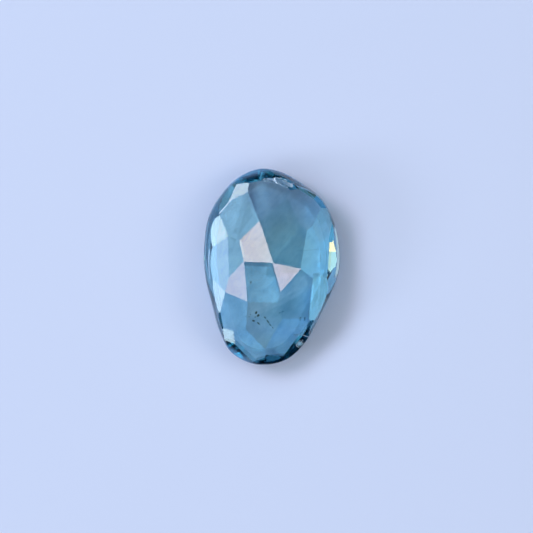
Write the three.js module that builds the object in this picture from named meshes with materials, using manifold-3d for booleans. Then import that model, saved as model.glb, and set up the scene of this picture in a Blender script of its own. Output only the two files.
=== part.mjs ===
// Blue topaz, a freeform rose cut: one clear stone with a flat polished base, a wide
// shallow bevel under its rim, a low leaning wall and a crown of unevenly sized facets.
//
// Millimetres, +Z up. The flat base lies on z = 0 and the stone's long axis runs
// along Y, with its blunt, broad end at +Y and its narrower end at -Y.
// The origin is the middle of the rim's bounding rectangle.

import * as THREE from 'three';
import { mergeVertices } from 'three/addons/utils/BufferGeometryUtils.js';
import Module from 'manifold-3d';

// ---------------------------------------------------------------- dimensions

const SMOOTH_STEPS = 120; // wall columns round the outline
const INWARD_SPAN = 0.07; // share of the outline over which inward directions are evened out
const BLANK_HEIGHT = 3.4; // height of the blank before the crown is cut

// Rim outline, anticlockwise from the blunt end. Each row is x, y and the lean:
// how far the wall has moved inward just under the crown.
const OUTLINE = [
  [-0.60, 5.98, 0.58],
  [-1.65, 5.67, 0.52],
  [-2.60, 4.98, 0.48],
  [-3.80, 3.20, 0.52],
  [-4.14, 1.25, 0.52],
  [-4.08, -0.50, 0.42],
  [-3.64, -2.40, 0.26],
  [-3.23, -3.85, 0.25],
  [-2.48, -5.22, 0.32],
  [-0.90, -5.97, 0.30],
  [0.80, -5.70, 0.30],
  [2.03, -4.62, 0.25],
  [2.85, -3.15, 0.22],
  [3.58, -1.65, 0.34],
  [4.11, -0.10, 0.76],
  [4.08, 1.45, 0.70],
  [3.72, 2.85, 0.22],
  [3.05, 4.12, 0.16],
  [1.75, 5.12, 0.30],
  [0.55, 5.77, 0.45],
];

// Profile from the base up: height, inset from the rim, then share of the lean.
// The first two rows are the shallow bevel and the third is the rim itself.
const WALL_PROFILE = [
  [0.00, 1.40, 0.00],
  [0.50, 0.25, 0.00],
  [0.80, 0.00, 0.00],
  [0.95, 0.00, 0.00],
  [1.25, 0.00, 0.12],
  [1.50, 0.00, 0.35],
  [1.75, 0.00, 0.65],
  [1.95, 0.00, 0.95],
  [2.20, 0.00, 1.40],
  [2.60, 0.00, 2.20],
  [BLANK_HEIGHT, 0.00, 3.00],
];

// Cutting chart. Each facet is named with the compass azimuth it slopes down
// towards (0 is +Y, 90 is +X), its tilt from level, and the distance of its plane
// from the origin. Angles in degrees, distances in millimetres.
const CROWN = [
  { name: 'summit', azimuth: 184, tilt: 5.6, distance: 3.18 },
  { name: 'upper table', azimuth: 2, tilt: 7.4, distance: 3.22 },
  { name: 'left table', azimuth: 248, tilt: 17.8, distance: 3.50 },
  { name: 'right table', azimuth: 105, tilt: 10.2, distance: 3.16 },
  { name: 'shoulder upper', azimuth: 27, tilt: 9.8, distance: 3.21 },
  { name: 'shoulder lower', azimuth: 73, tilt: 11.6, distance: 3.17 },
  { name: 'left slope', azimuth: 273, tilt: 24.4, distance: 3.63 },
  { name: 'upper left slope', azimuth: 326, tilt: 26.3, distance: 3.80 },
  { name: 'top slope', azimuth: 340, tilt: 25.8, distance: 3.85 },
  { name: 'upper right slope', azimuth: 50, tilt: 23, distance: 3.66 },
  { name: 'right slope', azimuth: 89, tilt: 27.1, distance: 3.37 },
  { name: 'right shelf', azimuth: 89, tilt: 36, distance: 3.57 },
  { name: 'right shelf upper', azimuth: 82, tilt: 35, distance: 3.64 },
  { name: 'lower right slope', azimuth: 120, tilt: 22, distance: 3.28 },
  { name: 'lower right shelf', azimuth: 110.5, tilt: 33.2, distance: 3.52 },
  { name: 'tip right', azimuth: 146, tilt: 31.6, distance: 3.83 },
  { name: 'tip ridge', azimuth: 182, tilt: 17.3, distance: 3.49 },
  { name: 'lower left slope', azimuth: 232, tilt: 24.9, distance: 3.74 },
  { name: 'tip left', azimuth: 208, tilt: 35, distance: 4.36 },
];

// Steeper facets that break the crown down to the wall.
const BREAK = [
  { name: 'left break upper', azimuth: 280, tilt: 42, distance: 4.00 },
  { name: 'left break', azimuth: 271, tilt: 38.5, distance: 3.82 },
  { name: 'left break lower', azimuth: 261.5, tilt: 43.4, distance: 4.00 },
  { name: 'upper left break', azimuth: 317, tilt: 38.1, distance: 4.38 },
  { name: 'top left break', azimuth: 327, tilt: 29.4, distance: 3.98 },
  { name: 'top break', azimuth: 336.5, tilt: 42.5, distance: 4.82 },
  { name: 'top break middle', azimuth: 344.5, tilt: 44, distance: 4.91 },
  { name: 'top right break', azimuth: 13.5, tilt: 42.5, distance: 4.95 },
  { name: 'upper right break', azimuth: 40.5, tilt: 42, distance: 4.70 },
  { name: 'right break upper', azimuth: 50.5, tilt: 43, distance: 4.60 },
  { name: 'right break nick', azimuth: 78, tilt: 44, distance: 4.07 },
  { name: 'right break top', azimuth: 87.4, tilt: 43.4, distance: 3.79 },
  { name: 'right break', azimuth: 90, tilt: 44, distance: 3.76 },
  { name: 'right break foot', azimuth: 91.9, tilt: 43.4, distance: 3.76 },
  { name: 'tip right break', azimuth: 139.5, tilt: 42.5, distance: 4.19 },
  { name: 'tip break', azimuth: 161, tilt: 43.2, distance: 4.76 },
  { name: 'tip left break', azimuth: 197, tilt: 41, distance: 4.88 },
  { name: 'lower left break', azimuth: 212.5, tilt: 42.5, distance: 4.73 },
  { name: 'lower left nick', azimuth: 246.5, tilt: 43.4, distance: 4.32 },
  { name: 'lower left spot', azimuth: 215, tilt: 37.7, distance: 4.47 },
];

// Old chip along the edge between the top slope and the top breaks: two shallow
// conchoidal scoops. Each has a centre, half lengths (long, across, deep), the
// clockwise turn of its long axis from +X and the dip of its floor towards +Y.
const CHIPS = [
  { centre: [0.70, 5.10, 2.06], size: [0.56, 0.20, 0.16], turn: 22, dip: 30 },
  { centre: [-0.18, 5.24, 1.90], size: [0.38, 0.11, 0.10], turn: 4, dip: 30 },
];

// ------------------------------------------------------------------- helpers

const wasm = await Module();
wasm.setup();

function toSolid(geometry) {
  const bare = geometry.clone();
  bare.deleteAttribute('normal');
  bare.deleteAttribute('uv');
  const merged = mergeVertices(bare, 1e-5);
  const mesh = new wasm.Mesh({
    numProp: 3,
    vertProperties: new Float32Array(merged.attributes.position.array),
    triVerts: new Uint32Array(merged.index.array),
  });
  return new wasm.Manifold(mesh);
}

function toGeometry(solid) {
  const mesh = solid.getMesh();
  const geometry = new THREE.BufferGeometry();
  const points = new Float32Array(mesh.numVert * 3);
  for (let i = 0; i < mesh.numVert; i += 1) {
    for (let k = 0; k < 3; k += 1) {
      points[i * 3 + k] = mesh.vertProperties[i * mesh.numProp + k];
    }
  }
  geometry.setAttribute('position', new THREE.BufferAttribute(points, 3));
  geometry.setIndex(new THREE.BufferAttribute(new Uint32Array(mesh.triVerts), 1));
  geometry.computeVertexNormals();
  return geometry;
}

// ------------------------------------------------------------------- shaping

// The outline as a closed curve whose z carries the wall's lean.
const outlineCurve = new THREE.CatmullRomCurve3(
  OUTLINE.map(([x, y, lean]) => new THREE.Vector3(x, y, lean)),
  true,
  'centripetal',
);

// One column of the wall: its foot on the outline, the inward direction, its lean.
function wallColumn(step) {
  const t = step / SMOOTH_STEPS;
  const foot = outlineCurve.getPoint(t);
  const ahead = outlineCurve.getPoint((t + INWARD_SPAN) % 1);
  const behind = outlineCurve.getPoint((t + 1 - INWARD_SPAN) % 1);
  const along = ahead.sub(behind);
  const inward = new THREE.Vector2(-along.y, along.x).normalize();
  return { x: foot.x, y: foot.y, lean: foot.z, inward };
}

// The uncut blank: the outline lofted up the bevel and the leaning wall, capped flat.
function makeBlank() {
  const columns = Array.from({ length: SMOOTH_STEPS }, (_, i) => wallColumn(i));
  const points = [];
  const addRing = (z, insetAt) => {
    for (const column of columns) {
      const run = insetAt(column);
      points.push(column.x + column.inward.x * run);
      points.push(column.y + column.inward.y * run);
      points.push(z);
    }
  };
  for (const [z, inset, share] of WALL_PROFILE) {
    addRing(z, (column) => inset + column.lean * share);
  }
  const rings = WALL_PROFILE.length;
  const faces = [];
  for (let r = 0; r < rings - 1; r += 1) {
    for (let i = 0; i < SMOOTH_STEPS; i += 1) {
      const next = (i + 1) % SMOOTH_STEPS;
      const a = r * SMOOTH_STEPS + i;
      const b = r * SMOOTH_STEPS + next;
      const c = (r + 1) * SMOOTH_STEPS + next;
      const d = (r + 1) * SMOOTH_STEPS + i;
      faces.push(a, b, c, a, c, d);
    }
  }
  for (const [ring, upward] of [[0, false], [rings - 1, true]]) {
    const start = ring * SMOOTH_STEPS;
    const rim = columns.map((_, i) => new THREE.Vector2(
      points[(start + i) * 3],
      points[(start + i) * 3 + 1],
    ));
    for (const [a, b, c] of THREE.ShapeUtils.triangulateShape(rim, [])) {
      faces.push(start + a, start + (upward ? b : c), start + (upward ? c : b));
    }
  }
  const blank = new THREE.BufferGeometry();
  blank.setAttribute('position', new THREE.Float32BufferAttribute(points, 3));
  blank.setIndex(faces);
  return blank;
}

// A lap: the block of space beyond one facet's plane.
function makeLap({ azimuth, tilt, distance }) {
  const size = 40;
  const lap = new THREE.BoxGeometry(size, size, size);
  lap.translate(0, 0, distance + size / 2);
  lap.rotateX(-THREE.MathUtils.degToRad(tilt));
  lap.rotateZ(-THREE.MathUtils.degToRad(azimuth));
  return lap;
}

// A scoop: a flattened ball whose lower side leaves one shell of the chip.
function makeScoop({ centre, size, turn, dip }) {
  const scoop = new THREE.IcosahedronGeometry(1, 2);
  scoop.scale(...size);
  scoop.rotateX(-THREE.MathUtils.degToRad(dip));
  scoop.rotateZ(-THREE.MathUtils.degToRad(turn));
  scoop.translate(...centre);
  return scoop;
}

function cutStone() {
  let stone = toSolid(makeBlank());
  for (const facet of [...CROWN, ...BREAK]) {
    stone = stone.subtract(toSolid(makeLap(facet)));
  }
  for (const chip of CHIPS) {
    stone = stone.subtract(toSolid(makeScoop(chip)));
  }
  return toGeometry(stone);
}

// --------------------------------------------------------------------- model

const topazMaterial = new THREE.MeshStandardMaterial({
  color: 0x6ea3c9,
  roughness: 0.05,
  metalness: 0,
  flatShading: true,
});

const gemstone = new THREE.Mesh(cutStone(), topazMaterial);
gemstone.name = 'gemstone';

const model = new THREE.Group();
model.add(gemstone);

export default model;
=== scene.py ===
"""Freeform rose-cut blue topaz: the finished stone, the specks inside it and a studio stage.

Metres, +Z up. The stone's flat base lies on z = 0 and its long axis runs along Y.
"""

import math

import bmesh
import bpy
from bpy.props import (
    FloatProperty,
    FloatVectorProperty,
    IntProperty,
    PointerProperty,
)
from bpy.types import Operator, Panel, PropertyGroup
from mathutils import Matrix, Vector


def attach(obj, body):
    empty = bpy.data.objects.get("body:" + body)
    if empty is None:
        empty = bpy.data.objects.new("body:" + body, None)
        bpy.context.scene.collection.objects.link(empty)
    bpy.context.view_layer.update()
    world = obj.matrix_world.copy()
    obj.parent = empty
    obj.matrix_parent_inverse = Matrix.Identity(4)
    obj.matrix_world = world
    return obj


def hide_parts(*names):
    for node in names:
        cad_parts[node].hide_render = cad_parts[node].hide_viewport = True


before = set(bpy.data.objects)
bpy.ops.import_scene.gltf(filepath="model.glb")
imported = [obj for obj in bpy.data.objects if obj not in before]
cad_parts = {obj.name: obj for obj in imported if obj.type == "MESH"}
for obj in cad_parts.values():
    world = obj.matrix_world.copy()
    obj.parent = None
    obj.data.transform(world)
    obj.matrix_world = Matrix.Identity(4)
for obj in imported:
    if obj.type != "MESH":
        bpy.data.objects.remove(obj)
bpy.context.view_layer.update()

bl_info = {
    "name": "Rose-Cut Topaz",
    "version": (1, 0, 0),
    "blender": (4, 5, 0),
    "location": "View3D > Sidebar > Topaz",
    "description": "Cuts a freeform rose-cut topaz, adds its inclusions and sets a studio stage",
    "category": "Add Mesh",
}

MM = 0.001
STONE_NODE = "gemstone"
BODY = "root"
CLOSE = 1e-7  # heights nearer than this, in metres, are one height
WELD = 2e-7  # points nearer than this, in metres, are joined when the stone is cleaned
CUT_CLOSE = 1e-8  # how near a facet's plane, in metres, a point counts as on it
LEVEL_WITHIN = 1  # degrees from level within which a face counts as flat
SAME_WAY = 0.99999  # cosine above which two directions count as one
DISC_RADIUS = 4 * MM  # of the starting disc; its points are then set on the outline
SCOOP_LEVEL = 4  # how finely the ball that cuts a chip is divided
GRAIN_LEVEL = 2  # how finely a grain is divided

# ------------------------------------------------------------------ cutting plan

# Rim outline, anticlockwise from the blunt end, in millimetres: x, y and the lean,
# which is how far the wall has moved inward just under the crown.
OUTLINE = (
    (-0.60, 5.98, 0.58), (-1.65, 5.67, 0.52), (-2.60, 4.98, 0.48), (-3.80, 3.20, 0.52),
    (-4.14, 1.25, 0.52), (-4.08, -0.50, 0.42), (-3.64, -2.40, 0.26), (-3.23, -3.85, 0.25),
    (-2.48, -5.22, 0.32), (-0.90, -5.97, 0.30), (0.80, -5.70, 0.30), (2.03, -4.62, 0.25),
    (2.85, -3.15, 0.22), (3.58, -1.65, 0.34), (4.11, -0.10, 0.76), (4.08, 1.45, 0.70),
    (3.72, 2.85, 0.22), (3.05, 4.12, 0.16), (1.75, 5.12, 0.30), (0.55, 5.77, 0.45),
)
INWARD_SPAN = 0.07  # share of the outline over which inward directions are evened out

# Rows from the rim down to the base: height and inset, in millimetres.
BEVEL_ROWS = ((0.80, 0.00), (0.50, 0.25), (0.00, 1.40))
# Rows from the rim up: height in millimetres, then share of the lean.
WALL_ROWS = (
    (0.95, 0.00), (1.10, 0.04), (1.25, 0.12), (1.38, 0.23), (1.50, 0.35), (1.63, 0.50),
    (1.75, 0.65), (1.85, 0.79), (1.95, 0.95), (2.07, 1.16), (2.20, 1.40), (2.60, 2.20),
    (6.00, 2.60),
)

# Facets: azimuth the facet slopes down towards (0 is +Y, 90 is +X) and tilt from
# level, in degrees, then the distance of its plane from the origin in millimetres.
FACETS = {
    "summit": (184, 5.6, 3.18),
    "upper table": (2, 7.4, 3.22),
    "left table": (248, 17.8, 3.50),
    "right table": (105, 10.2, 3.16),
    "shoulder upper": (27, 9.8, 3.21),
    "shoulder lower": (73, 11.6, 3.17),
    "left slope": (273, 24.4, 3.63),
    "upper left slope": (326, 26.3, 3.80),
    "top slope": (340, 25.8, 3.85),
    "upper right slope": (50, 23.0, 3.66),
    "right slope": (89, 27.1, 3.37),
    "right shelf": (89, 36.0, 3.57),
    "right shelf upper": (82, 35.0, 3.64),
    "lower right slope": (120, 22.0, 3.28),
    "lower right shelf": (110.5, 33.2, 3.52),
    "tip right": (146, 31.6, 3.83),
    "tip ridge": (182, 17.3, 3.49),
    "lower left slope": (232, 24.9, 3.74),
    "tip left": (208, 35.0, 4.36),
    "left break upper": (280, 42, 4.00),
    "left break": (271, 38.5, 3.82),
    "left break lower": (261.5, 43.4, 4.00),
    "upper left break": (317, 38.1, 4.38),
    "top left break": (327, 29.4, 3.98),
    "top break": (336.5, 42.5, 4.82),
    "top break middle": (344.5, 44.0, 4.91),
    "top right break": (13.5, 42.5, 4.95),
    "upper right break": (40.5, 42.0, 4.70),
    "right break upper": (50.5, 43.0, 4.60),
    "right break nick": (78, 44.0, 4.07),
    "right break top": (87.4, 43.4, 3.79),
    "right break": (90, 44.0, 3.76),
    "right break foot": (91.9, 43.4, 3.76),
    "tip right break": (139.5, 42.5, 4.19),
    "tip break": (161, 43.2, 4.76),
    "tip left break": (197, 41.0, 4.88),
    "lower left break": (212.5, 42.5, 4.73),
    "lower left nick": (246.5, 43.4, 4.32),
    "lower left spot": (215, 37.7, 4.47),
}

# Chip scoops: centre and half lengths in millimetres, clockwise turn of the long
# axis from +X and dip of the floor towards +Y in degrees.
CHIPS = (
    ((0.70, 5.10, 2.06), (0.56, 0.20, 0.16), 22, 30),
    ((-0.18, 5.24, 1.90), (0.38, 0.11, 0.10), 4, 30),
)

# Frosted ripples in a scoop and in the sparkle by the tip, their white partly a painted
# highlight: distance from its middle as a share of its half lengths, half width of the
# ripple and how frosted it is.
CHIP_RIPPLES = ((1.00, 0.13, 1.0), (0.66, 0.06, 1.0), (0.36, 0.05, 0.8))
CHIP_DEPTH = 0.5  # how far above and below a scoop its frosting reaches, in millimetres
CHIP_END = (1.3, 1.6)  # half lengths from a scoop's middle over which its frosting ends
CHIP_WANDER = 0.9  # how far the ripples stray, as a share of the half lengths
CHIP_GAIN = 1.8  # brings the broken ripples back up to full frosting

# Noise textures of the stone: scale per metre, detail and warp, then the noise values
# between which each eases in and the strengths it eases from and to. In order: cloudy
# growth, fine fibres across it, wisps in the pale veils of partly painted light, gaps in
# the chip's ripples and grit on them.
CLOUD = (820, 3.0, 1.4, (0.40, 0.62), (0.0, 0.38))
FIBRE = (5200, 2.0, 0.5, (0.48, 0.68), (0.0, 0.28))
WISP = (1900, 3.0, 1.2, (0.30, 0.62), (0.55, 1.15))
CHIP_GATE = (4600, 1.0, 0.8, (0.46, 0.52), (0.15, 1.0))
CHIP_GRIT = (21000, 1.0, 0.0, (0.44, 0.52), (0.35, 1.0))
STRAY = (7000, 2.0, 1.0)  # scale per metre, detail and warp of the ripples' straying
NOISE_MIDDLE = 0.5  # value that noise wavers round
FIBRE_TURN = 38  # degrees by which the fibres are turned about +Z
FIBRE_STRETCH = (1.0, 0.18, 1.0)  # draws the fibres out along their own y

# Painted shade over the stone's middle, darker and greener where less light reaches the floor
# under it: centre, stretch along x and y, then the distances over which it fades out, in
# millimetres.
SHADED_CORE = ((0.7, 0.9), (1.0, 0.75), (0.8, 2.4))

# Zones of painted shade, where the stone looks dimmer, in the same terms, each with its tint.
SHADE_ZONES = (
    ((0.3, -2.1), (0.85, 1.0), (0.6, 1.7), (0.68, 0.80, 0.84)),
    ((0.0, -6.2), (0.55, 1.0), (1.3, 2.8), (0.93, 1.0, 1.0)),
    ((-1.30, 3.60), (1.5, 0.85), (0.10, 0.78), (0.26, 0.42, 0.64)),
)

# Flat-sided patches of painted shade, standing in for the dim floor and inner reflections
# seen through the facets: corners in clockwise order, in millimetres, then tint.
SHADE_PANES = (
    (((-1.53, -0.36), (2.14, -0.36), (2.14, -1.09), (-1.53, -3.03)), (0.98, 0.98, 0.99)),
    (((-1.60, 0.22), (0.45, 0.16), (0.52, -0.52), (-1.60, -0.36)), (0.93, 0.93, 0.94)),
    (((-0.30, 0.06), (0.14, 0.02), (0.26, -0.58), (-0.36, -0.50)), (0.73, 0.79, 0.81)),
    (((2.48, -0.40), (2.85, -0.40), (2.78, -1.90), (2.44, -2.60)), (0.27, 0.38, 0.46)),
    (
        ((-2.08, 1.76), (-1.72, 3.23), (-1.35, 3.90), (-0.86, 2.74), (-1.78, 1.45)),
        (0.40, 0.57, 0.68),
    ),
    (((3.34, 3.80), (3.62, 3.60), (3.98, 2.62), (3.56, 2.74)), (0.06, 0.20, 0.30)),
    (
        ((-0.95, -5.52), (0.06, -5.30), (0.80, -5.30), (0.85, -6.2), (-1.35, -6.2)),
        (0.14, 0.24, 0.30),
    ),
    (
        ((-2.85, -4.35), (-2.10, -4.50), (-0.98, -5.62), (-1.35, -6.2), (-3.10, -5.1)),
        (0.08, 0.22, 0.26),
    ),
)
PANE_EASE = 0.07  # millimetres either side over which a patch's edges fade

# Pale veils, partly painted light that lightens places lit through the stone: centre, stretch
# along x and y and the distances over which each fades out, in millimetres, then its strength.
# The last is the milky heart of the painted sparkle by the tip.
VEILS_AND_PAINTED_LIGHT = (
    ((-0.58, 3.95), (1.2, 0.7), (0.10, 0.70), 0.11),
    ((-2.42, 2.95), (1.0, 0.7), (0.15, 0.80), 0.18),
    ((-2.05, 3.90), (1.2, 0.9), (0.10, 0.60), 0.15),
    ((-0.42, 3.10), (1.3, 0.7), (0.10, 0.75), 0.07),
    ((-0.70, 4.80), (0.9, 1.0), (0.10, 0.60), 0.15),
    ((2.94, -2.35), (1.0, 0.7), (0.10, 0.60), 0.12),
    ((-1.10, -5.35), (0.8, 1.0), (0.05, 0.50), 0.10),
    ((1.55, -3.55), (0.6, 1.2), (0.10, 0.70), 0.05),
    ((0.30, 5.10), (0.6, 1.3), (0.05, 0.60), 0.06),
    ((1.67, -4.69), (1.0, 1.2), (0.06, 0.28), 0.80),
)
VEIL_AND_LIGHT_EDGE = 0.02  # strength at which a veil's own colour has fully come in

# Painted highlight by the tip, frosted like the chip, standing in for a sparkle of light:
# centre and half lengths in millimetres and clockwise turn in degrees.
TIP_SPARKLE = ((1.70, -4.66, 1.60), (0.24, 0.15), -48)

# Fine worn and healed lines on the crown, partly painted highlights where edges catch the
# light: ends, half width in millimetres and how frosted the line is.
WORN_AND_HIGHLIGHT_LINES = (
    ((-2.45, 4.09), (-3.19, 3.23), 0.06, 0.9),
    ((-3.80, 1.02), (-3.86, 0.29), 0.05, 0.7),
    ((-3.86, 0.29), (-3.77, -0.69), 0.05, 0.6),
    ((3.31, -1.86), (2.85, -2.78), 0.05, 0.35),
    ((2.85, -2.78), (2.50, -3.42), 0.05, 0.5),
    ((2.50, -3.42), (2.24, -4.08), 0.05, 0.6),
    ((1.32, -4.12), (1.90, -4.16), 0.04, 0.4),
    ((1.90, -4.16), (2.28, -4.30), 0.05, 0.7),
    ((-0.12, 0.29), (0.95, 1.70), 0.03, 0.16),
    ((1.55, 0.95), (2.85, 1.05), 0.03, 0.12),
    ((1.22, -3.72), (2.10, -3.50), 0.03, 0.20),
)

# Height over which the veils and worn lines, partly painted light, come in, in millimetres:
# the bevel has none.
CROWN_FROM = (0.95, 1.05)

ABSORB_HEADROOM = 1.05  # keeps the colour of the strongest absorption above black

# Satin of the unpolished lower wall, its dark blue painted shade of the rim's dark band.
# The four heights are where it starts, is whole, starts to fade and is gone; the pairs are
# where each part comes in or goes out along the named axis, in millimetres.
SATIN_SHADE_HEIGHTS = (0.70, 0.80, 1.15, 1.55)
SATIN_SHADE_BLUNT_Y = (4.3, 5.2)
SATIN_SHADE_TIP_Y = (-4.8, -4.0)
SATIN_SHADE_TIP_X = (-1.4, -0.6)
SATIN_SHADE_LEFT_X = (-2.0, 0.0)
SATIN_SHADE_ENDS = 0.5  # strength at the blunt end and the tip
SATIN_SHADE_LEFT = 0.10  # strength along the left side

# Painted highlight along the right of the rim: a bright line standing in for the glint
# of light there, in the same terms.
EDGE_HEIGHTS = (1.08, 1.16, 1.36, 1.46)
EDGE_Y = (-0.9, -0.4, 2.2, 2.7)
EDGE_X = (3.0, 3.4)

# Dark specks: x, y, z, length and thickness in millimetres, turn in degrees.
SPECKS = (
    (-0.96, -2.60, 1.20, 0.20, 0.12, 62),
    (-0.84, -2.78, 1.20, 0.21, 0.13, 40),
    (-1.12, -3.12, 1.25, 0.18, 0.11, -20),
    (-0.82, -3.28, 1.25, 0.24, 0.08, -38),
    (-1.02, -2.88, 1.22, 0.08, 0.06, 0),
    (-1.30, -2.72, 1.22, 0.08, 0.05, 30),
    (-1.38, -2.86, 1.22, 0.07, 0.05, 0),
    (-0.42, -2.92, 1.20, 0.20, 0.06, -50),
    (-0.24, -3.16, 1.20, 0.30, 0.08, -54),
    (-0.10, -3.38, 1.20, 0.18, 0.06, -46),
    (0.04, -3.54, 1.20, 0.12, 0.05, -50),
    (1.56, -3.02, 1.10, 0.12, 0.07, 10),
    (1.84, -3.04, 1.10, 0.11, 0.07, 0),
    (0.46, -2.62, 1.30, 0.09, 0.05, 30),
    (-1.28, -0.86, 1.40, 0.10, 0.08, 20),
)

# Pale pinpoints, in the same terms.
PINPOINTS = (
    (-0.12, 3.70, 2.20, 0.13, 0.06, 70),
    (-0.70, 3.28, 2.10, 0.06, 0.04, 0),
    (1.32, 1.90, 2.40, 0.07, 0.05, 0),
    (2.62, -3.28, 1.30, 0.09, 0.05, 20),
)

GRAIN_WOBBLE = 0.2  # how far a grain's points stray, as a share of its half lengths
GRAIN_MOTTLE = 12000  # scale per metre of the mottling of a grain
GRAIN_SHADOW = 0.5  # darkest mottling of a grain as a share of its colour

# ------------------------------------------------------------------ stage plan

LIGHT_REACH = 0.6  # metres from the stone to each light

# Whether each kind of light reaches the floor, shows in reflections and shows in the
# view through the stone.
LIGHT_ROLES = {
    "glint": (False, True, False),
    "card": (False, True, True),
    "window": (True, True, True),
    "fill": (True, False, False),
}

# Lights: name, kind, azimuth and zenith angle it comes from, half width and half height
# as seen from the stone, all in degrees, then red, green and blue radiance and, for
# one that is not an ellipse, its shape.
LIGHTS = (
    ("left_upper_card", "glint", 281, 84, 7, 5, (7.3, 9.5, 10.4), "RECTANGLE"),
    ("left_card", "card", 271, 76, 6, 3.5, (4.3, 6.5, 8.8), "RECTANGLE"),
    ("left_lower_card", "glint", 259, 86.5, 8, 3, (6.8, 9.2, 11.2), "RECTANGLE"),
    ("upper_table_card", "card", 2, 15.3, 1.8, 1.4, (8.7, 7.4, 6.8)),
    ("left_table_card", "card", 248, 35, 3.5, 3.5, (6.4, 5.9, 7.0)),
    ("right_table_card", "card", 105, 20, 3.2, 3.2, (7.2, 5.0, 4.4)),
    ("shoulder_card", "card", 27, 20.6, 4, 4, (0.32, 0.43, 0.2)),
    ("tip_ridge_card", "card", 182, 35.6, 3, 3, (0.1, 0.25, 0.1)),
    ("summit_card", "card", 4, 7, 2.6, 2.6, (3, 4, 5)),
    ("window", "window", 298, 50, 27, 8, (1.6, 3.4, 4.4)),
    ("key", "fill", 297, 47, 13, 11, (6.0, 4.6, 6.0)),
    ("top_left_card", "card", 327, 60.5, 2.6, 2.6, (6.8, 8.0, 8.6)),
    ("upper_left_card", "card", 317, 77, 3.5, 3.5, (1.1, 2.2, 2.9)),
    ("lower_left_card", "card", 215, 76.5, 3.5, 3.5, (6.2, 8.2, 9.2)),
    ("right_slope_card", "card", 89, 54.2, 3, 3, (0.5, 2.0, 2.8)),
    ("right_shelf_upper_card", "card", 82, 71, 2.8, 2.8, (1.2, 2.2, 2.6)),
    ("right_shelf_card", "card", 89, 72, 3, 3, (0.9, 2.3, 3.0)),
    ("lower_left_slope_card", "card", 232, 49.8, 3, 3, (0.4, 1.8, 3.3)),
    ("tip_left_card", "card", 208, 70, 3, 3, (0.8, 2.1, 3.7)),
    ("tip_right_card", "card", 146, 63.2, 3, 3, (0.3, 0.9, 2.0)),
    ("right_top_card", "card", 85.9, 88.0, 1.6, 1.2, (1.0, 3.5, 5.5), "RECTANGLE"),
    ("shelf_card", "card", 110.5, 66.8, 3, 3, (1.7, 3.9, 4.7)),
    ("blue_rim_card", "card", 50.5, 87, 3, 2, (0.45, 1.4, 2.8)),
    ("green_rim_card", "card", 40.5, 85, 3, 3, (0.6, 1.2, 1.2)),
    ("warm_strip", "card", 88.70, 88.4, 0.93, 1.5, (15, 13.8, 6.8), "RECTANGLE"),
    ("cool_strip", "card", 90.58, 88.4, 0.95, 1.5, (5.9, 9.7, 8.9), "RECTANGLE"),
    ("right_fill", "fill", 100, 55, 22, 14, (1.6, 1.5, 1.3)),
    ("floor_fill", "fill", 250, 70, 12, 6, (9, 10.5, 13.5)),
)

# Sky. The ring's zenith angles, in degrees, are where it starts, is whole, starts to
# fade and is faint; the dark patch has an azimuth, a zenith angle, and the radii
# where it starts to fade and ends.
SKY_RING = (66, 56, 40, 24)
SKY_TOP = 0.1  # share of the ring's light left overhead
SKY_DARK = (0.01, 0.02, 0.035)  # colour of the sky outside the ring
DARK_PATCH = (128, 44, 15, 23)
DARK_PATCH_LEFT = 0.25  # share of the ring's light left in the dark patch
BACKDROP = (0.50, 0.55, 0.65)  # colour seen beyond the floor

FLOOR_SIZE = 2.0  # metres

CAMERA_PLACE = (-0.337, 0.0123, 181.44)  # millimetres
CAMERA_LENS = 200  # millimetres
CAMERA_SENSOR = 36  # millimetres
CAMERA_CLIP = 0.001  # metres

# How far light is followed through the clear stone.
LIGHT_PATHS = {
    "max_bounces": 24,
    "transmission_bounces": 24,
    "glossy_bounces": 16,
    "diffuse_bounces": 6,
    "caustics_refractive": True,
    "caustics_reflective": True,
    "blur_glossy": 0.0,
    "sample_clamp_indirect": 0.0,
}


# ------------------------------------------------------------------ settings


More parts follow.
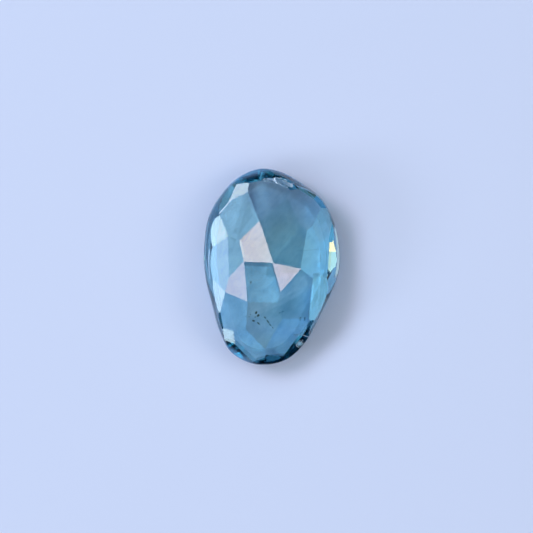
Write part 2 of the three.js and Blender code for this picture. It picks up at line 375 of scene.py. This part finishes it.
class StoneSettings(PropertyGroup):
    columns: IntProperty(
        name="Wall columns", description="Columns of faces round the wall", default=300, min=24
    )
    tint: FloatVectorProperty(
        name="Surface tint", description="Tint light takes at each polished face",
        subtype="COLOR", default=(0.82, 0.92, 1.0), min=0, max=1,
    )
    # painted shade: the tint over the stone's middle is darker and greener, standing in for the
    # dim floor seen through it
    shaded_core_tint: FloatVectorProperty(
        name="Core tint", description="Tint light takes over the stone's greener core",
        subtype="COLOR", default=(0.835, 0.895, 0.87), min=0, max=1,
    )
    cloud_tint: FloatVectorProperty(
        name="Cloud tint", description="Tint of the cloudy growth texture inside the stone",
        subtype="COLOR", default=(0.52, 0.68, 0.80), min=0, max=1,
    )
    # partly painted highlight: the white of the chip's ripples, the worn lines and the sparkle
    # by the tip
    frost_and_highlight_colour: FloatVectorProperty(
        name="Frost colour", description="Colour of the chip's ripples and the worn lines",
        subtype="COLOR", default=(0.97, 0.98, 1.0), min=0, max=1,
    )
    # painted highlight: the bright line along the right of the rim stands in for a glint
    edge_highlight_colour: FloatVectorProperty(
        name="Edge colour", description="Colour of the bright worn line along the rim",
        subtype="COLOR", default=(0.78, 0.99, 1.0), min=0, max=1,
    )
    # partly painted light: the pale colour of the veils lightens places lit through the stone
    veil_and_light_colour: FloatVectorProperty(
        name="Veil colour", description="Colour of the pale veils",
        subtype="COLOR", default=(0.45, 0.80, 1.0), min=0, max=1,
    )
    # painted shade: the dark blue of the lower wall stands in for the rim's dark band
    satin_shade_colour: FloatVectorProperty(
        name="Satin colour", description="Colour of the unpolished lower wall",
        subtype="COLOR", default=(0.20, 0.38, 0.60), min=0, max=1,
    )
    frost_roughness: FloatProperty(
        name="Frost roughness", description="How rough the frosted and satin places are",
        default=0.5, min=0, max=1,
    )
    absorb: FloatVectorProperty(
        name="Absorption", description="Red, green and blue light lost per metre of stone",
        default=(172.0, 76.0, 60.0), min=0,
    )
    index: FloatProperty(
        name="Refractive index", description="How strongly the stone bends light",
        default=1.62, min=1,
    )


class InclusionSettings(PropertyGroup):
    dark: FloatVectorProperty(
        name="Speck colour", description="Colour of the dark specks",
        subtype="COLOR", default=(0.003, 0.006, 0.009), min=0, max=1,
    )
    pale: FloatVectorProperty(
        name="Pinpoint colour", description="Colour of the pale pinpoints",
        subtype="COLOR", default=(0.95, 0.97, 0.98), min=0, max=1,
    )
    dark_roughness: FloatProperty(
        name="Speck roughness", description="How rough the dark specks are",
        default=0.7, min=0, max=1,
    )
    pale_roughness: FloatProperty(
        name="Pinpoint roughness", description="How rough the pale pinpoints are",
        default=0.5, min=0, max=1,
    )


class StageSettings(PropertyGroup):
    floor: FloatVectorProperty(
        name="Floor colour", description="Colour of the plain floor",
        subtype="COLOR", default=(0.77, 0.77, 0.87), min=0, max=1,
    )
    sky: FloatVectorProperty(
        name="Sky light", description="Brightness of the ring of soft light overhead",
        default=(0.78, 0.97, 1.18), min=0,
    )
    gap: FloatProperty(
        name="Floor gap", description="Air between the floor and the stone's base",
        default=0.03 * MM, unit="LENGTH",
    )


# ------------------------------------------------------------------ shader nodes


class Wire:
    """One shader socket that can be used in Python arithmetic."""

    def __init__(self, tree, socket):
        self.tree = tree
        self.socket = socket

    def _maths(self, operation, a, b=None):
        return self.tree.add("ShaderNodeMath", {"operation": operation}, {0: a, 1: b})

    def __add__(self, other):
        return self._maths("ADD", self, other)

    def __sub__(self, other):
        return self._maths("SUBTRACT", self, other)

    def __mul__(self, other):
        return self._maths("MULTIPLY", self, other)

    def __rmul__(self, other):
        return self._maths("MULTIPLY", other, self)

    def least(self, other):
        return self._maths("MINIMUM", self, other)

    def most(self, other):
        return self._maths("MAXIMUM", self, other)


class NodeTree:
    """Adds nodes to a material's or world's tree."""

    def __init__(self, owner):
        owner.use_nodes = True
        self.nodes = owner.node_tree.nodes
        self.links = owner.node_tree.links
        self.nodes.clear()

    def add(self, kind, settings=None, inputs=None, out=0):
        """A new node's output. Inputs are numbers, colours or wires; None is left out."""
        node = self.nodes.new(kind)
        for name, value in (settings or {}).items():
            setattr(node, name, value)
        for name, value in (inputs or {}).items():
            if value is None:
                continue
            if isinstance(value, Wire):
                self.links.new(value.socket, node.inputs[name])
            else:
                node.inputs[name].default_value = value
        return Wire(self, node.outputs[out]) if node.outputs else None

    def step(self, value, low, high, start=0.0, end=1.0):
        """Value eased from start at low to end at high."""
        return self.add(
            "ShaderNodeMapRange",
            {"interpolation_type": "SMOOTHSTEP"},
            {0: value, 1: low, 2: high, 3: start, 4: end},
        )

    def band(self, value, start, whole, fade, gone):
        """1 from whole to fade, easing to 0 at start and at gone."""
        return self.step(value, start, whole) * self.step(value, fade, gone, 1.0, 0.0)

    def blend(self, share, a, b, mode="MIX"):
        """Colour a turning into colour b as the share goes from 0 to 1."""
        return self.add(
            "ShaderNodeMix", {"data_type": "RGBA", "blend_type": mode}, {0: share, 6: a, 7: b},
            out=2,
        )

    def vector(self, operation, a, b=None, out="Vector"):
        return self.add("ShaderNodeVectorMath", {"operation": operation}, {0: a, 1: b}, out)

    def length(self, a):
        return self.vector("LENGTH", a, out="Value")

    def along(self, a, b):
        """How far vector a reaches along unit vector b."""
        return self.vector("DOT_PRODUCT", a, b, out="Value")

    def turned(self, place, degrees):
        """The place turned about +Z."""
        return self.add(
            "ShaderNodeMapping",
            inputs={"Vector": place, "Rotation": (0, 0, math.radians(degrees))},
        )

    def parts(self, place):
        """The x, y and z of a place."""
        split = self.add("ShaderNodeSeparateXYZ", inputs={0: place}).socket.node
        return [Wire(self, socket) for socket in split.outputs]

    def noise(self, place, scale, detail=2.0, warp=0.0):
        return self.add(
            "ShaderNodeTexNoise",
            inputs={"Vector": place, "Scale": scale, "Detail": detail, "Distortion": warp},
        )

    def texture(self, place, scale, detail, warp, span, strengths):
        """Noise eased between two strengths over a span of its values."""
        return self.step(self.noise(place, scale, detail, warp), *span, *strengths)


def rgba(colour):
    return (*colour, 1.0)


def mm(values):
    """Millimetres as metres."""
    return [value * MM for value in values]


def direction(azimuth, zenith):
    """Unit vector towards an azimuth, at an angle down from +Z."""
    turn, down = math.radians(azimuth), math.radians(zenith)
    return Vector((
        math.sin(down) * math.sin(turn), math.sin(down) * math.cos(turn), math.cos(down)
    ))


# ------------------------------------------------------------------ shaping helpers


def only(obj):
    """Leaves one object selected and active."""
    bpy.ops.object.select_all(action="DESELECT")
    obj.select_set(True)
    bpy.context.view_layer.objects.active = obj


def rim_point(t):
    """Point of the closed centripetal curve through OUTLINE at t from 0 to 1."""
    count = len(OUTLINE)
    place = (t % 1.0) * count
    first = int(place)
    share = place - first
    p0, p1, p2, p3 = (Vector(OUTLINE[(first + k) % count]) for k in (-1, 0, 1, 2))
    d0, d1, d2 = (math.sqrt((b - a).length) for a, b in ((p0, p1), (p1, p2), (p2, p3)))
    leave = ((p1 - p0) / d0 - (p2 - p0) / (d0 + d1) + (p2 - p1) / d1) * d1
    arrive = ((p2 - p1) / d1 - (p3 - p1) / (d1 + d2) + (p3 - p2) / d2) * d1
    square = 3 * (p2 - p1) - 2 * leave - arrive
    cube = 2 * (p1 - p2) + leave + arrive
    return p1 + share * (leave + share * (square + share * cube))


def wall_columns(count):
    """(x, y, lean, inward x, inward y) of each column round the rim."""
    columns = []
    for k in range(count):
        t = k / count
        foot = rim_point(t)
        along = rim_point(t + INWARD_SPAN) - rim_point(t - INWARD_SPAN)
        inward = Vector((-along.y, along.x)).normalized()
        columns.append((foot.x, foot.y, foot.z, inward.x, inward.y))
    return columns


def place_ring(obj, columns, height, run):
    """Sets the ring of selected points on the outline moved inward by run(lean)."""
    mesh = bmesh.from_edit_mesh(obj.data)
    mesh.verts.ensure_lookup_table()
    ring = sorted((v for v in mesh.verts if v.select), key=lambda v: v.index)
    for point, (x, y, lean, inward_x, inward_y) in zip(ring, columns):
        inset = run(lean)
        point.co = Vector((x + inward_x * inset, y + inward_y * inset, height)) * MM
    bmesh.update_edit_mesh(obj.data)


def loft_blank(count):
    """The uncut blank: a disc set on the rim, extruded down the bevel and up the wall."""
    columns = wall_columns(count)
    bpy.ops.object.select_all(action="DESELECT")
    bpy.ops.mesh.primitive_circle_add(
        vertices=count, radius=DISC_RADIUS, fill_type="NGON", location=(0, 0, 0)
    )
    stone = bpy.context.object
    bpy.ops.object.mode_set(mode="EDIT")
    height, inset = BEVEL_ROWS[-1]
    place_ring(stone, columns, height, lambda lean: inset)
    rows = [(z, run, 0.0) for z, run in BEVEL_ROWS[-2::-1]]
    rows += [(z, 0.0, share) for z, share in WALL_ROWS]
    for height, inset, share in rows:
        bpy.ops.mesh.extrude_region_move(TRANSFORM_OT_translate={"value": (0, 0, MM)})
        place_ring(stone, columns, height, lambda lean: inset + share * lean)
    bpy.ops.object.mode_set(mode="OBJECT")
    return stone


def facet_plane(azimuth, tilt, distance):
    """(point, normal) of a facet's plane, in metres."""
    normal = direction(azimuth, tilt)
    return normal * distance * MM, normal


def select_faces(obj, test):
    """Selects, in edit mode, the faces that pass the test."""
    bpy.ops.mesh.select_all(action="DESELECT")
    mesh = bmesh.from_edit_mesh(obj.data)
    for face in mesh.faces:
        if test(face):
            face.select_set(True)
    bmesh.update_edit_mesh(obj.data)


def crease_rings(stone):
    """Keeps the rings of the bevel crisp where its flat bands meet."""
    heights = [height * MM for height, inset in BEVEL_ROWS]
    bpy.ops.mesh.select_all(action="DESELECT")
    mesh = bmesh.from_edit_mesh(stone.data)
    for edge in mesh.edges:
        low, high = sorted(point.co.z for point in edge.verts)
        if high - low < CLOSE and any(abs(low - height) < CLOSE for height in heights):
            edge.select_set(True)
    bmesh.update_edit_mesh(stone.data)
    bpy.ops.mesh.mark_sharp()


def cut_crown(stone):
    """Cuts the crown's facets off the blank, one plane at a time."""
    only(stone)
    bpy.ops.object.mode_set(mode="EDIT")
    level = math.cos(math.radians(LEVEL_WITHIN))
    select_faces(stone, lambda face: abs(face.normal.z) < level)
    bpy.ops.mesh.faces_shade_smooth()
    crease_rings(stone)
    planes = [facet_plane(*facet) for facet in FACETS.values()]
    for point, normal in planes:
        bpy.ops.mesh.select_all(action="SELECT")
        bpy.ops.mesh.bisect(
            plane_co=point, plane_no=normal, use_fill=True, clear_outer=True,
            threshold=CUT_CLOSE,
        )
    select_faces(
        stone, lambda face: any(face.normal.dot(normal) > SAME_WAY for point, normal in planes)
    )
    bpy.ops.mesh.faces_shade_flat()
    bpy.ops.object.mode_set(mode="OBJECT")


def ball(name, level, centre, half, turn, dip=0.0, wobble=0.0, seed=0):
    """A ball squashed to its half lengths, tipped, turned and set in place."""
    bpy.ops.object.select_all(action="DESELECT")
    bpy.ops.mesh.primitive_ico_sphere_add(subdivisions=level, radius=1.0, location=(0, 0, 0))
    blob = bpy.context.object
    blob.name = blob.data.name = name
    bpy.ops.object.mode_set(mode="EDIT")
    bpy.ops.mesh.select_all(action="SELECT")
    if wobble:
        bpy.ops.transform.vertex_random(offset=wobble, seed=seed, normal=1.0)
    bpy.ops.mesh.faces_shade_smooth()
    bpy.ops.object.mode_set(mode="OBJECT")
    blob.scale = Vector(half) * MM
    blob.rotation_euler = (-math.radians(dip), 0.0, -math.radians(turn))
    blob.location = Vector(centre) * MM
    bpy.ops.object.transform_apply(location=True, rotation=True, scale=True)
    return blob


def cut_chips(stone):
    """Takes the scoops of the old chip out of the stone."""
    for centre, half, turn, dip in CHIPS:
        scoop = ball("scoop", SCOOP_LEVEL, centre, half, turn, dip)
        only(stone)
        cut = stone.modifiers.new("chip", "BOOLEAN")
        cut.operation = "DIFFERENCE"
        cut.solver = "EXACT"
        cut.object = scoop
        bpy.ops.object.modifier_apply(modifier=cut.name)
        only(scoop)
        bpy.ops.object.delete()


def clean(obj):
    """Closes seams and points every face outward."""
    only(obj)
    bpy.ops.object.mode_set(mode="EDIT")
    bpy.ops.mesh.select_all(action="SELECT")
    bpy.ops.mesh.remove_doubles(threshold=WELD)
    bpy.ops.mesh.dissolve_degenerate(threshold=WELD)
    bpy.ops.mesh.normals_make_consistent(inside=False)
    bpy.ops.object.mode_set(mode="OBJECT")


def wear(obj, material):
    obj.data.materials.clear()
    obj.data.materials.append(material)


# ------------------------------------------------------------------ materials


def zone_mask(tree, place, centre, stretch, fade):
    """1 in a rounded zone, easing to 0 round it."""
    offset = tree.vector("SUBTRACT", place, (*mm(centre), 0.0))
    offset = tree.vector("MULTIPLY", offset, (*stretch, 0.0))
    return tree.step(tree.length(offset), *mm(fade), 1.0, 0.0)


def mottle(tree, place):
    """Soft cloudy growth texture crossed by fine fibres, from 0 to 1."""
    drawn = tree.vector("MULTIPLY", tree.turned(place, FIBRE_TURN), FIBRE_STRETCH)
    return tree.texture(place, *CLOUD) + tree.texture(drawn, *FIBRE)


def pane_mask(tree, place, corners):
    """1 over a flat-sided patch, easing to 0 round it."""
    mask = 1.0
    for (x0, y0), (x1, y1) in zip(corners, corners[1:] + corners[:1]):
        length = math.hypot(x1 - x0, y1 - y0)
        outward = ((y0 - y1) / length, (x1 - x0) / length, 0.0)
        edge = outward[0] * x0 + outward[1] * y0
        fade = mm((edge - PANE_EASE, edge + PANE_EASE))
        mask = mask * tree.step(tree.along(place, outward), *fade, 1.0, 0.0)
    return mask


def above_bevel(tree, place):
    """1 on the crown and the upper wall, easing to 0 below them."""
    return tree.step(tree.parts(place)[2], *mm(CROWN_FROM))


def satin_shade_mask(tree, place):
    """How satiny the unpolished lower wall is, with its painted shade: most at the blunt end and
    the tip.
    """
    x, y, z = tree.parts(place)
    blunt = tree.step(y, *mm(SATIN_SHADE_BLUNT_Y))
    tip = tree.step(y, *mm(SATIN_SHADE_TIP_Y), 1.0, 0.0) * tree.step(x, *mm(SATIN_SHADE_TIP_X), 1.0, 0.0)
    left = tree.step(x, *mm(SATIN_SHADE_LEFT_X), 1.0, 0.0)
    return tree.band(z, *mm(SATIN_SHADE_HEIGHTS)) * (SATIN_SHADE_LEFT * left + SATIN_SHADE_ENDS * blunt.most(tip))


def veil_and_painted_light_mask(tree, place):
    """How milky the pale veils are; they are partly painted light."""
    mask = 0.0
    for centre, stretch, fade, strength in VEILS_AND_PAINTED_LIGHT:
        mask = (strength * zone_mask(tree, place, centre, stretch, fade)).most(mask)
    return mask * tree.texture(place, *WISP) * above_bevel(tree, place)


def edge_highlight_mask(tree, place):
    """1 on the painted highlight, a bright line along the right of the rim."""
    x, y, z = tree.parts(place)
    line = tree.band(z, *mm(EDGE_HEIGHTS)) * tree.step(x, *mm(EDGE_X))
    return line * tree.band(y, *mm(EDGE_Y))


def chip_frost_and_sparkle_mask(tree, place):
    """1 on the chip's frosted ripples and broken rims, partly painted highlight, and the tip's
    painted sparkle.
    """
    stray = CHIP_WANDER * (tree.noise(place, *STRAY) - NOISE_MIDDLE)
    mask = 0.0
    scoops = [(centre, half[:2], turn) for centre, half, turn, dip in CHIPS]
    # the last is the painted sparkle by the tip
    for centre, half, turn in scoops + [TIP_SPARKLE]:
        local = tree.turned(tree.vector("SUBTRACT", place, mm(centre)), turn)
        local = tree.vector("DIVIDE", local, mm((*half, CHIP_DEPTH)))
        reach = tree.length(tree.vector("MULTIPLY", local, (1.0, 1.0, 0.0))) + stray
        near = tree.step(tree.length(local), *CHIP_END, 1.0, 0.0)
        for rim, width, strength in CHIP_RIPPLES:
            ripple = tree.band(reach, rim - width, rim, rim, rim + width)
            mask = (strength * ripple * near).most(mask)
    broken = tree.texture(place, *CHIP_GATE) * tree.texture(place, *CHIP_GRIT)
    return (CHIP_GAIN * mask * broken).least(1.0)


def line_mask(tree, place):
    """How frosted the fine worn lines of the crown are, partly as painted highlights."""
    mask = 0.0
    for (x0, y0), (x1, y1), wide, strength in WORN_AND_HIGHLIGHT_LINES:
        length = math.hypot(x1 - x0, y1 - y0)
        run = ((x1 - x0) / length, (y1 - y0) / length, 0.0)
        side = (-run[1], run[0], 0.0)
        offset = tree.vector("SUBTRACT", place, (*mm((x0, y0)), 0.0))
        line = tree.band(tree.along(offset, run), *mm((-wide, 0.0, length, length + wide)))
        line = line * tree.band(tree.along(offset, side), *mm((-wide, 0.0, 0.0, wide)))
        mask = (strength * line).most(mask)
    return mask * above_bevel(tree, place)


def tint_and_painted_shade(tree, place, settings):
    """Tint of the polished faces: painted shade over the core, in the zones and in the patches,
    then the cloud.
    """
    shaded_core = zone_mask(tree, place, *SHADED_CORE)
    tint = tree.blend(shaded_core, rgba(settings.tint), rgba(settings.shaded_core_tint))
    for centre, stretch, fade, colour in SHADE_ZONES:
        tint = tree.blend(zone_mask(tree, place, centre, stretch, fade), tint, rgba(colour))
    for corners, colour in SHADE_PANES:
        tint = tree.blend(pane_mask(tree, place, corners), tint, rgba(colour))
    return tree.blend(mottle(tree, place), tint, rgba(settings.cloud_tint), "MULTIPLY")


def topaz_material(settings):
    """Clear blue stone, by plain transmission, index and absorption, frosted in places, with
    painted shade and highlights.
    """
    material = bpy.data.materials.new("topaz")
    tree = NodeTree(material)
    place = tree.add("ShaderNodeTexCoord", out="Object")
    clear = tree.add(
        "ShaderNodeBsdfPrincipled",
        inputs={
            # the base colour carries painted shade: the darker core, zones and patches
            "Base Color": tint_and_painted_shade(tree, place, settings),
            "Roughness": 0.0,
            "IOR": settings.index,
            "Transmission Weight": 1.0,
        },
    )
    # painted highlight along the right of the rim
    edge = edge_highlight_mask(tree, place)
    # frost of the chip and the worn lines, partly painted highlights, with the painted sparkle
    # and rim highlight
    worn = chip_frost_and_sparkle_mask(tree, place).most(edge).most(line_mask(tree, place))
    # pale veils, partly painted light
    veil_and_light = veil_and_painted_light_mask(tree, place)
    veil_and_light_share = tree.step(veil_and_light, 0.0, VEIL_AND_LIGHT_EDGE)
    # dark blue painted shade on the lower wall, pale painted light in the veils
    dull = tree.blend(veil_and_light_share, rgba(settings.satin_shade_colour), rgba(settings.veil_and_light_colour))
    pale = tree.blend(edge, rgba(settings.frost_and_highlight_colour), rgba(settings.edge_highlight_colour))
    # rough layer: real frost together with painted shade and painted highlights
    frost_and_painted_light = tree.add(
        "ShaderNodeBsdfPrincipled",
        inputs={
            "Base Color": tree.blend(worn, dull, pale),
            "Roughness": settings.frost_roughness,
        },
    )
    share = worn.most(satin_shade_mask(tree, place)).most(veil_and_light)
    surface = tree.add("ShaderNodeMixShader", inputs={0: share, 1: clear, 2: frost_and_painted_light})
    density = max(settings.absorb) * ABSORB_HEADROOM
    inside = tree.add(
        "ShaderNodeVolumeAbsorption",
        inputs={
            "Color": rgba([1 - loss / density for loss in settings.absorb]),
            "Density": density,
        },
    )
    tree.add("ShaderNodeOutputMaterial", inputs={"Surface": surface, "Volume": inside})
    return material


def grain_material(name, colour, roughness):
    """Mineral grain, mottled a little so no grain is one flat colour."""
    material = bpy.data.materials.new(name)
    tree = NodeTree(material)
    place = tree.add("ShaderNodeTexCoord", out="Object")
    shadow = [GRAIN_SHADOW * value for value in colour]
    shade = tree.blend(tree.noise(place, GRAIN_MOTTLE), rgba(shadow), rgba(colour))
    surface = tree.add(
        "ShaderNodeBsdfPrincipled", inputs={"Base Color": shade, "Roughness": roughness}
    )
    tree.add("ShaderNodeOutputMaterial", inputs={"Surface": surface})
    return material


def floor_material(colour):
    """Plain matt floor."""
    material = bpy.data.materials.new("floor")
    tree = NodeTree(material)
    surface = tree.add(
        "ShaderNodeBsdfPrincipled",
        inputs={"Base Color": rgba(colour), "Roughness": 1.0, "Specular IOR Level": 0.0},
    )
    tree.add("ShaderNodeOutputMaterial", inputs={"Surface": surface})
    return material


# ------------------------------------------------------------------ lights


def soft_light(name, role, azimuth, zenith, half_wide, half_high, radiance, shape="ELLIPSE"):
    """A softbox seen from the stone in that direction, with that angular half size."""
    light = bpy.data.lights.new(name, "AREA")
    light.shape = shape
    light.size = 2 * LIGHT_REACH * math.tan(math.radians(half_wide))
    light.size_y = 2 * LIGHT_REACH * math.tan(math.radians(half_high))
    area = light.size * light.size_y * (math.pi / 4 if shape == "ELLIPSE" else 1)
    peak = max(radiance)
    light.color = [value / peak for value in radiance]
    light.energy = peak * math.pi * area
    lamp = bpy.data.objects.new(name, light)
    bpy.context.scene.collection.objects.link(lamp)
    towards = direction(azimuth, zenith)
    lamp.location = towards * LIGHT_REACH
    lamp.rotation_mode = "QUATERNION"
    lamp.rotation_quaternion = (-towards).to_track_quat("-Z", "Y")
    lamp.visible_camera = False
    lamp.visible_diffuse, lamp.visible_glossy, lamp.visible_transmission = LIGHT_ROLES[role]


# ------------------------------------------------------------------ operators


class TOPAZ_OT_stone(Operator):
    """Cut the stone from its blank, chip it and give it its clear blue finish, with painted
    shade and highlights
    """

    bl_idname = "topaz.stone"
    bl_label = "Stone"

    def execute(self, context):
        settings = context.scene.topaz_stone
        stone = loft_blank(settings.columns)
        cut_crown(stone)
        cut_chips(stone)
        clean(stone)
        stone.name = stone.data.name = "rose_cut_stone"
        wear(stone, topaz_material(settings))
        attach(stone, BODY)
        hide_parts(STONE_NODE)
        return {"FINISHED"}


class TOPAZ_OT_inclusions(Operator):
    """Set the dark specks and pale pinpoints inside the stone"""

    bl_idname = "topaz.inclusions"
    bl_label = "Inclusions"

    def execute(self, context):
        settings = context.scene.topaz_inclusions
        for name, rows, colour, roughness in (
            ("specks", SPECKS, settings.dark, settings.dark_roughness),
            ("pinpoints", PINPOINTS, settings.pale, settings.pale_roughness),
        ):
            grains = []
            for k, (x, y, z, length, thick, turn) in enumerate(rows):
                half = (length / 2, thick / 2, thick / 3)  # lower than they are wide
                grains.append(ball(
                    "grain", GRAIN_LEVEL, (x, y, z), half, -turn, wobble=GRAIN_WOBBLE, seed=k + 1
                ))
            bpy.ops.object.select_all(action="DESELECT")
            for grain in grains:
                grain.select_set(True)
            context.view_layer.objects.active = grains[0]
            bpy.ops.object.join()
            piece = context.object
            piece.name = piece.data.name = name
            wear(piece, grain_material(name, colour, roughness))
            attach(piece, BODY)
        return {"FINISHED"}


class TOPAZ_OT_stage(Operator):
    """Set the floor, the soft lights, the sky and the camera"""

    bl_idname = "topaz.stage"
    bl_label = "Stage"

    def execute(self, context):
        settings = context.scene.topaz_stage
        self.floor(context, settings)
        for row in LIGHTS:
            soft_light(*row)
        self.sky(context.scene, settings)
        self.camera(context.scene)
        context.scene.view_settings.view_transform = "Standard"
        for name, value in LIGHT_PATHS.items():
            setattr(context.scene.cycles, name, value)
        return {"FINISHED"}

    def floor(self, context, settings):
        """A plain floor just under the stone's base."""
        bpy.ops.object.select_all(action="DESELECT")
        bpy.ops.mesh.primitive_plane_add(size=FLOOR_SIZE, location=(0, 0, 0))
        floor = context.object
        floor.name = "floor"
        for corner in floor.data.vertices:
            corner.co.z = -settings.gap
        wear(floor, floor_material(settings.floor))

    def sky(self, scene, settings):
        """A ring of soft light with a dark patch in it, and a plain backdrop."""
        scene.world = bpy.data.worlds.new("sky")
        tree = NodeTree(scene.world)
        way = tree.add("ShaderNodeTexCoord", out="Generated")
        up = tree.parts(way)[2]
        start, whole, fade, faint = (math.cos(math.radians(angle)) for angle in SKY_RING)
        ring = tree.step(up, start, whole) * tree.step(up, fade, faint, 1.0, SKY_TOP)
        near = tree.along(way, direction(*DARK_PATCH[:2]))
        inner, outer = (math.cos(math.radians(angle)) for angle in DARK_PATCH[2:])
        ring = ring * tree.step(near, outer, inner, 1.0, DARK_PATCH_LEFT)
        colour = tree.blend(ring, rgba(SKY_DARK), rgba(settings.sky))
        seen = tree.add("ShaderNodeLightPath", out="Is Camera Ray")
        colour = tree.blend(seen, colour, rgba(BACKDROP))
        light = tree.add("ShaderNodeBackground", inputs={"Color": colour, "Strength": 1.0})
        tree.add("ShaderNodeOutputWorld", inputs={"Surface": light})

    def camera(self, scene):
        """A long lens looking straight down at the crown."""
        data = bpy.data.cameras.new("camera")
        data.lens = CAMERA_LENS
        data.sensor_width = CAMERA_SENSOR
        data.clip_start = CAMERA_CLIP
        camera = bpy.data.objects.new("camera", data)
        camera.location = mm(CAMERA_PLACE)
        scene.collection.objects.link(camera)
        scene.camera = camera


class TOPAZ_PT_pieces(Panel):
    """Pieces of the topaz"""

    bl_label = "Topaz"
    bl_idname = "TOPAZ_PT_pieces"
    bl_space_type = "VIEW_3D"
    bl_region_type = "UI"
    bl_category = "Topaz"

    def draw(self, context):
        for operator, group in STEPS:
            box = self.layout.box()
            settings = getattr(context.scene, group)
            for name in settings.__annotations__:
                box.prop(settings, name)
            box.operator(operator.bl_idname)


STEPS = (
    (TOPAZ_OT_stone, "topaz_stone"),
    (TOPAZ_OT_inclusions, "topaz_inclusions"),
    (TOPAZ_OT_stage, "topaz_stage"),
)
CLASSES = (
    StoneSettings, InclusionSettings, StageSettings,
    TOPAZ_OT_stone, TOPAZ_OT_inclusions, TOPAZ_OT_stage, TOPAZ_PT_pieces,
)


def register():
    for item in CLASSES:
        bpy.utils.register_class(item)
    bpy.types.Scene.topaz_stone = PointerProperty(type=StoneSettings)
    bpy.types.Scene.topaz_inclusions = PointerProperty(type=InclusionSettings)
    bpy.types.Scene.topaz_stage = PointerProperty(type=StageSettings)


def unregister():
    del bpy.types.Scene.topaz_stage
    del bpy.types.Scene.topaz_inclusions
    del bpy.types.Scene.topaz_stone
    for item in reversed(CLASSES):
        bpy.utils.unregister_class(item)


def main():
    register()
    bpy.ops.topaz.stone()
    bpy.ops.topaz.inclusions()
    bpy.ops.topaz.stage()


if __name__ == "__main__":
    main()
